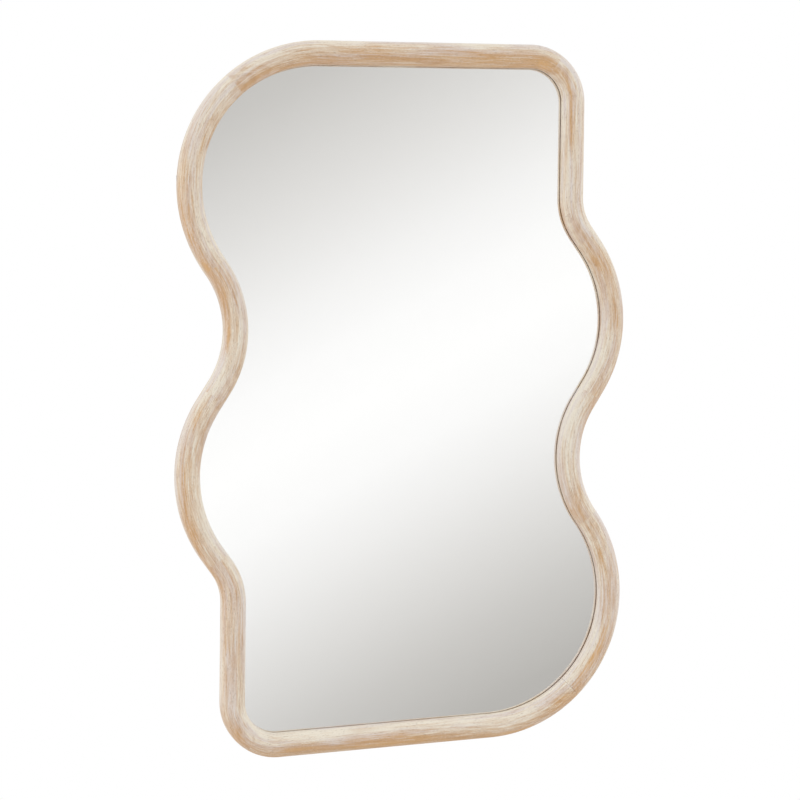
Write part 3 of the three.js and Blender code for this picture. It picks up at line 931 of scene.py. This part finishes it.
def girth_over(band, behind, s):
    """The distance over the round front, and on down the sides by how far the vertex lies behind."""
    half_width = s.face_width / 2
    lift = np.clip(1 - band.across / half_width, -1, 1)
    girth = np.arccos(lift) * (half_width + s.round_depth) / 2
    return girth + np.where(band.across < half_width, -behind, behind)


def board_place(band, segment):
    """Each vertex's place along and across the segment's board, sawn along its longest run."""
    longest = max(range(len(segment.runs)), key=lambda k: segment.runs[k].length)
    start = along_runs(segment.start, segment.runs[:longest])
    turn = along_runs(start, segment.runs[longest:], segment.runs[longest].length / 2).heading
    x, z = (band.flat - band.centre).T
    return x * math.cos(turn) + z * math.sin(turn), z * math.cos(turn) - x * math.sin(turn)


def mark_board(target, segment, index, s, d):
    """Stores each vertex's place in the segment's board, its place on the face, and its wear."""
    points = coordinates(target)
    band = Band(points, segment, s.face_width)
    behind = points[:, 1] - d.front - s.round_depth
    on_front = behind < 0.1 * MM
    fibre, side = board_place(band, segment)
    store(target, "grain", np.c_[fibre, side, points[:, 1]] / MM + np.array(BOARD_SHIFT) * (index + 1))
    girth = girth_over(band, np.maximum(behind, 0), s)
    along, across = band.along / MM, band.across / MM
    # The third value is the share of wash, with painted light by facing.
    store(target, "face", np.c_[along + FACE_SHIFT * index, girth / MM, wash_and_painted_light(band, on_front, s)])
    wear = np.zeros_like(points)
    for middle_along, middle_across, half_length, half_width, bare, golden in WORN_SPOTS[segment.name]:
        spread = ((along - middle_along) / half_length) ** 2 + ((across - middle_across) / half_width) ** 2
        wear[:, :2] += np.exp(-spread)[:, None] * (bare, golden)
    store(target, "wear", wear * on_front[:, None])


class WAVYMIRROR_OT_frame(bpy.types.Operator):
    """Builds the ten whitewashed segments of the frame"""

    bl_idname = "wavymirror.frame"
    bl_label = "Wooden Frame"

    def execute(self, context):
        s, d, segments = plan(context.scene)
        section = frame_section(s, d)
        cuts = frame_cuts(segments, s, d)
        wood = whitewashed_wood(context.scene.wavy_mirror_finish)
        for index, segment in enumerate(segments):
            name = segment.name
            before = segments[index - 1].name
            after = segments[(index + 1) % len(segments)].name
            first = s.open_seam if (before, name) == OPEN_SEAM else s.closed_seam
            last = s.open_seam if (name, after) == OPEN_SEAM else s.closed_seam
            places = walk(segment.start, segment.runs, FRAME_STEP, first / 2, last / 2)
            piece = new_object(f"whitewashed_{name}", *sweep(places, section))
            middle = np.array([inset(p, s.face_width / 2)[:2] for p in places])
            own = [part for x, z, part in cuts if np.hypot(*(middle - (x, z)).T).min() < CUT_REACH]
            cut(piece, own, 32)
            mark_board(piece, segment, index, s, d)
            dress(piece, wood, "mirror", "frame_wood", f"frame_{name}")
        return {"FINISHED"}


class WAVYMIRROR_OT_tenons(bpy.types.Operator):
    """Gives the loose tenons their planed beech"""

    bl_idname = "wavymirror.tenons"
    bl_label = "Tenons"

    def execute(self, context):
        s, _, segments = plan(context.scene)
        wood = beech(context.scene.wavy_mirror_finish)
        for name, _ in tenon_places(segments, s):
            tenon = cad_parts[name]
            tenon.data.materials.clear()
            tenon.data.materials.append(wood)
        return {"FINISHED"}


# ---------------------------------------------------------------- pane and back board

# The silver lies at the depth at which it is seen through the glass, as the glass bends no rays.
GLASS_INDEX = 1.5
SILVER_GAP = 0.01 * MM
ARRIS = 0.3 * MM
BOARD_EASE = 0.25 * MM


def plate(segments, margin, levels):
    """A flat plate inside the frame. Levels are (y, extra inset), from front to back."""
    places = []
    for segment in segments:
        places += walk(segment.start, segment.runs, FRAME_STEP)[:-1]
    vertices = []
    for y, extra in levels:
        vertices += [(p.x, y, p.z) for p in (inset(place, margin + extra) for place in places)]
    *sides, front, back = capped_bands(len(levels), len(places))
    return vertices, [face[::-1] for face in (front, back, *sides)]


class WAVYMIRROR_OT_pane(bpy.types.Operator):
    """Builds the back-silvered pane: clear glass with ground edges over silver and backing paint"""

    bl_idname = "wavymirror.pane"
    bl_label = "Mirror Pane"

    def execute(self, context):
        s, d, segments = plan(context.scene)
        finish = context.scene.wavy_mirror_finish
        front, back = d.glass_front, d.glass_front + s.glass
        silver = front + s.glass / GLASS_INDEX
        margin = d.rabbet + s.plate_play
        clear = plate(segments, margin, [(front, ARRIS), (front + ARRIS, 0), (silver - SILVER_GAP, 0)])
        coated = plate(segments, margin, [(silver, 0), (back - ARRIS, 0), (back, ARRIS)])
        pane = new_object("silvered_pane", *joined([clear, coated]))
        dress(pane, clear_glass(), "mirror", "silvered_glass", "mirror_pane")
        pane.data.materials.append(silvering(finish))
        pane.data.materials.append(backing_paint(finish))
        first = len(clear[1])
        for face in pane.data.polygons[first:]:
            face.material_index = 1 if face.index == first else 2
        return {"FINISHED"}


class WAVYMIRROR_OT_back_board(bpy.types.Operator):
    """Builds the hardboard back with its screw holes"""

    bl_idname = "wavymirror.back_board"
    bl_label = "Back Board"

    def execute(self, context):
        s, d, segments = plan(context.scene)
        front, back, ease = d.board_front, d.board_back, BOARD_EASE
        levels = [(front, ease), (front + ease, 0), (back - ease, 0), (back, ease)]
        board = new_object("hardboard_back", *plate(segments, d.band + s.plate_play, levels))
        radius = s.screw + s.bore_gap
        holes = [
            bore(p.x, p.z, radius, front - 1 * MM, back + 1 * MM)
            for p in board_screw_places(segments, d)
        ]
        cut(board, holes, 30)
        material = hardboard(context.scene.wavy_mirror_finish)
        dress(board, material, "mirror", "hardboard", "back_board")
        return {"FINISHED"}


# ---------------------------------------------------------------- screws

PITCH = 1.25 * MM
RINGS_PER_TURN = 6
SCREW_SIDES = 20
CORE_SHARE = 0.72
POINT_LENGTH = 2.5 * MM
SHANK = 1 * MM
HEAD_RIM = 0.8 * MM
HEAD_HEIGHT = 1.9 * MM
HEAD_EASE = 0.15 * MM
RECESS_HALF_WIDTH = 0.30 * MM
RECESS_REACH = 1.45 * MM
RECESS_DEPTH = 1.0 * MM
SCREW_TURN = 37  # degrees by which each screw's recess is turned on from the last one's


def thread_radius(s, y, k, fade):
    """Radius of the thread at a y and a side. Fade thins it out towards the head."""
    core = CORE_SHARE * s.screw
    taper = min(1.0, (y + s.screw_length + 0.1 * MM) / POINT_LENGTH)
    phase = (y / PITCH - k / SCREW_SIDES) % 1.0
    ridge = max(0.0, 1 - abs(phase - 0.5) / 0.28)
    return taper * (core + (s.screw - core) * ridge * fade)


def screw_mesh(s):
    """A pan-head screw along Y, head towards +Y, with a rolled thread and a cross recess."""
    core, start = CORE_SHARE * s.screw, 0.3 * MM
    count = RINGS_PER_TURN * round((s.screw_length - SHANK) / PITCH)
    rings = []
    for ring in range(count + 1):
        y = -s.screw_length + start + (s.screw_length - SHANK - start) * ring / count
        fade = min(1.0, (count - ring) / RINGS_PER_TURN)
        rings.append((y, [thread_radius(s, y, k, fade) for k in range(SCREW_SIDES)]))
    profile = [
        (core, -0.6 * MM),
        (core, -0.12 * MM),
        (core + HEAD_EASE, 0.0),
        (s.head - HEAD_EASE, 0.0),
        (s.head, HEAD_EASE),
        *arc((0, HEAD_RIM), (s.head, HEAD_HEIGHT - HEAD_RIM), 0, 90, 7)[:-1],
    ]
    rings += [(y, [radius] * SCREW_SIDES) for radius, y in profile]
    screw = new_object("screw", *spun(-s.screw_length, rings, HEAD_HEIGHT))
    narrow, wide = RECESS_HALF_WIDTH, RECESS_REACH
    corners = []
    for y, grow in ((HEAD_HEIGHT - RECESS_DEPTH, 0.75), (HEAD_HEIGHT + 0.4 * MM, 1.12)):
        for x, z in ((-wide, -narrow), (wide, -narrow), (wide, narrow), (-wide, narrow)):
            corners.append((x * grow, y, z * grow))
    slot = corners, [face[::-1] for face in capped_bands(2, 4)]
    for turn in (0, math.pi / 2):
        cut(screw, [moved(slot, Matrix.Rotation(turn, 4, "Y"))], 35)
    mesh = screw.data
    mesh.name = "pan_head_screw"
    bpy.data.objects.remove(screw)
    return mesh


class WAVYMIRROR_OT_screws(bpy.types.Operator):
    """Sets the twelve screws of the back board and the four of the hangers"""

    bl_idname = "wavymirror.screws"
    bl_label = "Screws"

    def execute(self, context):
        s, d, segments = plan(context.scene)
        zinc = shared_material("zinc_steel", zinc_steel, context.scene.wavy_mirror_finish)
        mesh = screw_mesh(s)
        count = sum(segment.screws for segment in segments)
        seats = {f"board_screw_{k + 1}": d.board_screw_seat for k in range(count)}
        seats |= {node: d.hanger_screw_seat for node in HANGER_SCREWS}
        for index, (node, y) in enumerate(seats.items()):
            x, z = place_of(node)
            screw = bpy.data.objects.new(f"zinc_{node}", mesh)
            context.scene.collection.objects.link(screw)
            turn = Matrix.Rotation(math.radians(SCREW_TURN * index % 90), 4, "Y")
            screw.matrix_world = Matrix.Translation((x, y, z)) @ turn
            dress(screw, zinc, "mirror", "zinc_steel", node)
        return {"FINISHED"}


# ---------------------------------------------------------------- hangers

WIRE = 1.1 * MM
STRAP_WIDTH = 9 * MM
STRAP_THICKNESS = 1 * MM
STRAP_DROP = 32 * MM
STRAP_EASE = 0.22 * MM
STRAP_STEP = 1.5 * MM
SCREW_DROPS = (18.5 * MM, 27.5 * MM)
RING_OPENING = 11 * MM
RING_REACH = 12 * MM
RING_BEND = 1.6 * MM
RING_STEP = 0.7 * MM


def strap_object(name, s):
    """A strap whose top curls round the ring's bar. Its origin is on the bar's axis."""
    curl = WIRE + s.bore_gap + STRAP_THICKNESS / 2
    half, thick = STRAP_WIDTH / 2, STRAP_THICKNESS / 2
    heights = [half * (1 - math.cos(math.radians(degrees))) for degrees in range(9, 91, 9)]
    heights += [half + STRAP_STEP * k for k in range(1, 18)]
    path = []
    for height in heights:
        width = math.sqrt(half**2 - max(0.0, half - height) ** 2)
        path.append((-curl, height - STRAP_DROP, 0.0, width))
    for degrees in range(180, -76, -10):
        turn = math.radians(degrees)
        path.append((curl * math.cos(turn), curl * math.sin(turn), turn - math.pi, half))
    vertices = []
    for y, z, turn, width in path:
        corner = min(STRAP_EASE, width * 0.4)
        ring = []
        for sx, sy, first in ((1, 1, 0), (-1, 1, 90), (-1, -1, 180), (1, -1, 270)):
            centre = sx * (width - corner), sy * (thick - STRAP_EASE)
            ring += arc(centre, (corner, STRAP_EASE), first, first + 90, 3)
        vertices += [(x, y + t * math.cos(turn), z + t * math.sin(turn)) for x, t in ring]
    strap = new_object(name, vertices, capped_bands(len(path), len(vertices) // len(path)))
    radius = s.screw + s.bore_gap
    holes = [bore(0, -drop, radius, -2 * curl, 0) for drop in SCREW_DROPS]
    cut(strap, holes, 40)
    return strap


def ring_object(name):
    """A D-shaped ring of round wire. Its origin is at the middle of its bar."""
    bow = RING_OPENING / 2 + WIRE
    bar = 2 * (bow - RING_BEND)
    leg = straight(RING_REACH + WIRE - bow - RING_BEND)
    bend = full(RING_BEND, math.pi / 2)
    runs = [straight(bar), bend, leg, full(bow, math.pi), leg, bend]
    places = walk(Place(-bar / 2, 0, 0), runs, RING_STEP)[:-1]
    wire = arc((0, 0), (WIRE, WIRE), 0, 360, 20)[:-1]
    return new_object(name, *sweep(places, wire, closed=True), smooth_angle=60)


class WAVYMIRROR_OT_hangers(bpy.types.Operator):
    """Builds the two strap hangers with their swinging D-rings"""

    bl_idname = "wavymirror.hangers"
    bl_label = "Hangers"

    def execute(self, context):
        s = context.scene.wavy_mirror_section
        zinc = shared_material("zinc_steel", zinc_steel, context.scene.wavy_mirror_finish)
        for side in ("left", "right"):
            low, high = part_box(f"{side}_hanger_ring")
            axis = Vector(((low.x + high.x) / 2, (low.y + high.y) / 2, high.z - WIRE))
            strap = strap_object(f"zinc_{side}_hanger_strap", s)
            ring = ring_object(f"zinc_{side}_hanger_ring")
            for piece, body, node in (
                (strap, "mirror", f"{side}_hanger_strap"),
                (ring, f"{side}_ring", f"{side}_hanger_ring"),
            ):
                piece.matrix_world = Matrix.Translation(axis)
                dress(piece, zinc, body, "zinc_steel", node)
        return {"FINISHED"}


# ---------------------------------------------------------------- bumpers

BUMPER_RADIUS = 6 * MM
BUMPER_EASE = 0.2 * MM
BUMPER_TOP = 5.2 * MM
BUMPER_ROUND = 1 * MM
DIMPLE_RIM = 2.2 * MM
DIMPLE_RADIUS = 1.9 * MM
DIMPLE_DEPTH = 0.35 * MM


class WAVYMIRROR_OT_bumpers(bpy.types.Operator):
    """Builds the four rubber bumpers that keep the frame off the wall"""

    bl_idname = "wavymirror.bumpers"
    bl_label = "Bumpers"

    def execute(self, context):
        s = context.scene.wavy_mirror_section
        rubber = grey_rubber(context.scene.wavy_mirror_finish)
        height = s.stand_off - s.seat_gap
        shoulder, dimple = height - BUMPER_ROUND, height - DIMPLE_DEPTH
        profile = [
            (0, 0),
            (BUMPER_RADIUS - BUMPER_EASE, 0),
            (BUMPER_RADIUS, BUMPER_EASE),
            (BUMPER_TOP, shoulder),
            *arc((BUMPER_TOP - BUMPER_ROUND, shoulder), (BUMPER_ROUND, BUMPER_ROUND), 8, 90, 7),
            (DIMPLE_RIM, height),
            (DIMPLE_RADIUS, dimple),
            (0, dimple),
        ]
        for corner in ("top_left", "top_right", "bottom_right", "bottom_left"):
            x, z = place_of(f"bumper_{corner}")
            part = lathe(profile, 48)
            bumper = new_object(f"rubber_bumper_{corner}", *part, smooth_angle=35)
            bumper.matrix_world = Matrix.Translation((x, -s.stand_off + s.seat_gap, z))
            dress(bumper, rubber, "mirror", "grey_rubber", f"bumper_{corner}")
        return {"FINISHED"}


# ---------------------------------------------------------------- stage

FLOOR_MIDDLE = Vector((0.0, -0.15))
FLOOR_RADIUS = 1.05
FLOOR_SIDES = 96
LAMP_REACH = 2.6
LAMP_FRONT = -1.0
LAMP_SIZE = 1.6
CAMERA_AIM = Vector((-12.741, -30.0, -5.270)) * MM
SENSOR_WIDTH = 36.0

# Brightness of the studio as the mirror sees it, by direction across the long light panel
PANEL_DIRECTION = (0.469, 0.0, -0.883)
PANEL_STOPS = (
    (-1.0, 0.80),
    (-0.15, 0.46),
    (-0.037, 0.60),
    (0.026, 0.79),
    (0.076, 0.95),
    (0.110, 1.03),
    (0.145, 1.06),
    (0.180, 1.02),
    (0.215, 0.91),
    (0.252, 0.765),
    (0.290, 0.615),
    (0.328, 0.495),
    (0.42, 0.42),
    (1.0, 0.78),
)


def bare_tree(owner):
    owner.use_nodes = True
    owner.node_tree.nodes.clear()
    return owner.node_tree


def studio_world(studio):
    """Even light for the surfaces, white for the camera, and a soft panel for the mirror."""
    world = bpy.data.worlds.new("studio")
    tree = bare_tree(world)
    path = put(tree, "ShaderNodeLightPath").outputs
    direction = put(tree, "ShaderNodeTexCoord").outputs["Generated"]
    across = put(
        tree, "ShaderNodeVectorMath", {0: direction, 1: PANEL_DIRECTION}, operation="DOT_PRODUCT"
    ).outputs["Value"]
    low, high = PANEL_STOPS[0][0], PANEL_STOPS[-1][0]
    top = max(level for _, level in PANEL_STOPS)
    share = put(tree, "ShaderNodeMapRange", {0: across, 1: low, 2: high}).outputs[0]
    panel = put(tree, "ShaderNodeValToRGB", {0: share})
    ramp = panel.color_ramp
    ramp.interpolation = "LINEAR"
    for index, (place, level) in enumerate(PANEL_STOPS):
        position = (place - low) / (high - low)
        stop = ramp.elements[index] if index < 2 else ramp.elements.new(position)
        stop.position = position
        warmth = max(0.0, 1 - level)
        tint = (1 + 0.05 * warmth, 1.0, 1 - 0.08 * warmth)
        stop.color = rgba(c * level / top for c in tint)
    seen = put(tree, "ShaderNodeBackground", {"Color": panel.outputs[0], "Strength": top})
    depth = split(tree, direction)[1]
    sides = maths(tree, "SUBTRACT", 1.0, maths(tree, "MULTIPLY", depth, depth))
    level = weighted(tree, studio.ambient, (sides, studio.surround))
    even = put(tree, "ShaderNodeBackground", {"Color": rgba(WHITE), "Strength": level})
    white = put(tree, "ShaderNodeBackground", {"Color": rgba(WHITE), "Strength": 1.0})
    mirrored = maths(tree, "MAXIMUM", path["Is Glossy Ray"], path["Is Transmission Ray"])
    mix = mix_shaders(tree, mirrored, even, seen)
    mix = mix_shaders(tree, path["Is Camera Ray"], mix, white)
    put(tree, "ShaderNodeOutputWorld", {"Surface": mix.outputs[0]})
    return world


def floor_material():
    """Pale floor that fades to white towards its rim."""
    material = bpy.data.materials.new("pale_floor")
    tree = bare_tree(material)
    place = put(tree, "ShaderNodeTexCoord").outputs["Object"]
    reach = put(tree, "ShaderNodeVectorMath", {0: place}, operation="LENGTH").outputs["Value"]
    fade = between(tree, reach, 0.40 * FLOOR_RADIUS, 0.97 * FLOOR_RADIUS)
    grain = noise(tree, place, (0.02, 0.02, 0.02), 3.0, 0.6)
    tone = blend_colours(tree, grain, (0.80, 0.80, 0.79, 1), (0.84, 0.84, 0.83, 1))
    matt = put(tree, "ShaderNodeBsdfDiffuse", {"Color": tone})
    glow = put(tree, "ShaderNodeEmission", {"Color": rgba(WHITE), "Strength": 1.0})
    mix = mix_shaders(tree, fade, matt, glow)
    put(tree, "ShaderNodeOutputMaterial", {"Surface": mix.outputs[0]})
    return material


def soft_lamp(name, place, watts):
    """A wide round lamp that faces the mirror's middle and shows in no reflection."""
    lamp = bpy.data.lights.new(name, "AREA")
    lamp.shape = "DISK"
    lamp.size = LAMP_SIZE
    lamp.energy = watts
    lamp_object = bpy.data.objects.new(name, lamp)
    bpy.context.scene.collection.objects.link(lamp_object)
    lamp_object.location = place
    lamp_object.rotation_euler = (-Vector(place)).to_track_quat("-Z", "Y").to_euler()
    lamp_object.visible_camera = False
    lamp_object.visible_glossy = False
    lamp_object.visible_transmission = False


def stand_camera(studio):
    """The camera at the left of the mirror's middle, a little above it."""
    ahead = Vector((math.sin(studio.yaw), math.cos(studio.yaw), 0))
    level = Vector((math.cos(studio.yaw), -math.sin(studio.yaw), 0))
    forward = ahead * math.cos(studio.pitch) - Vector((0, 0, math.sin(studio.pitch)))
    right = level * math.cos(studio.roll) + level.cross(forward) * math.sin(studio.roll)
    up = right.cross(forward)
    data = bpy.data.cameras.new("camera")
    data.lens = studio.lens
    data.sensor_width = SENSOR_WIDTH
    camera = bpy.data.objects.new("camera", data)
    bpy.context.scene.collection.objects.link(camera)
    turn = Matrix((right, up, -forward)).transposed().to_4x4()
    camera.matrix_world = Matrix.Translation(CAMERA_AIM - forward * studio.distance) @ turn
    bpy.context.scene.camera = camera


class WAVYMIRROR_OT_stage(bpy.types.Operator):
    """Lays the pale floor and sets the light and the camera"""

    bl_idname = "wavymirror.stage"
    bl_label = "Stage"

    def execute(self, context):
        studio = context.scene.wavy_mirror_studio
        rim = arc((0, 0), (FLOOR_RADIUS, FLOOR_RADIUS), 0, 360, FLOOR_SIDES)[:-1]
        floor = new_object("floor", [(x, y, 0) for x, y in rim], [tuple(range(FLOOR_SIDES))])
        floor.location = (*FLOOR_MIDDLE, -studio.floor_drop)
        floor.data.materials.append(floor_material())
        soft_lamp("left_lamp", (-LAMP_REACH, LAMP_FRONT, 0.0), studio.left_lamp)
        soft_lamp("right_lamp", (LAMP_REACH, LAMP_FRONT, 0.0), studio.right_lamp)
        soft_lamp("top_lamp", (0.0, LAMP_FRONT, LAMP_REACH), studio.top_lamp)
        context.scene.world = studio_world(studio)
        context.scene.view_settings.view_transform = "Standard"
        stand_camera(studio)
        return {"FINISHED"}


# ---------------------------------------------------------------- panel


class WAVYMIRROR_PT_panel(bpy.types.Panel):
    """Lists the mirror's pieces, sizes and colours"""

    bl_idname = "WAVYMIRROR_PT_panel"
    bl_label = "Wavy Mirror"
    bl_space_type = "VIEW_3D"
    bl_region_type = "UI"
    bl_category = "Wavy Mirror"

    def draw(self, context):
        layout = self.layout
        for operator in OPERATORS:
            layout.operator(operator.bl_idname, text=operator.bl_label)
        for group, kind in GROUPS.items():
            box = layout.box()
            for name in kind.__annotations__:
                box.prop(getattr(context.scene, group), name)


GROUPS = {
    "wavy_mirror_outline": WAVYMIRROR_PG_outline,
    "wavy_mirror_section": WAVYMIRROR_PG_section,
    "wavy_mirror_finish": WAVYMIRROR_PG_finish,
    "wavy_mirror_studio": WAVYMIRROR_PG_studio,
}
OPERATORS = (
    WAVYMIRROR_OT_frame,
    WAVYMIRROR_OT_tenons,
    WAVYMIRROR_OT_pane,
    WAVYMIRROR_OT_back_board,
    WAVYMIRROR_OT_screws,
    WAVYMIRROR_OT_hangers,
    WAVYMIRROR_OT_bumpers,
    WAVYMIRROR_OT_stage,
)


def register():
    for kind in (*GROUPS.values(), *OPERATORS, WAVYMIRROR_PT_panel):
        bpy.utils.register_class(kind)
    for name, kind in GROUPS.items():
        setattr(bpy.types.Scene, name, PointerProperty(type=kind))


def unregister():
    for name in GROUPS:
        delattr(bpy.types.Scene, name)
    for kind in reversed((*GROUPS.values(), *OPERATORS, WAVYMIRROR_PT_panel)):
        bpy.utils.unregister_class(kind)


def main():
    register()
    bpy.ops.wavymirror.frame()
    bpy.ops.wavymirror.tenons()
    bpy.ops.wavymirror.pane()
    bpy.ops.wavymirror.back_board()
    bpy.ops.wavymirror.screws()
    bpy.ops.wavymirror.hangers()
    bpy.ops.wavymirror.bumpers()
    bpy.ops.wavymirror.stage()


if __name__ == "__main__":
    main()
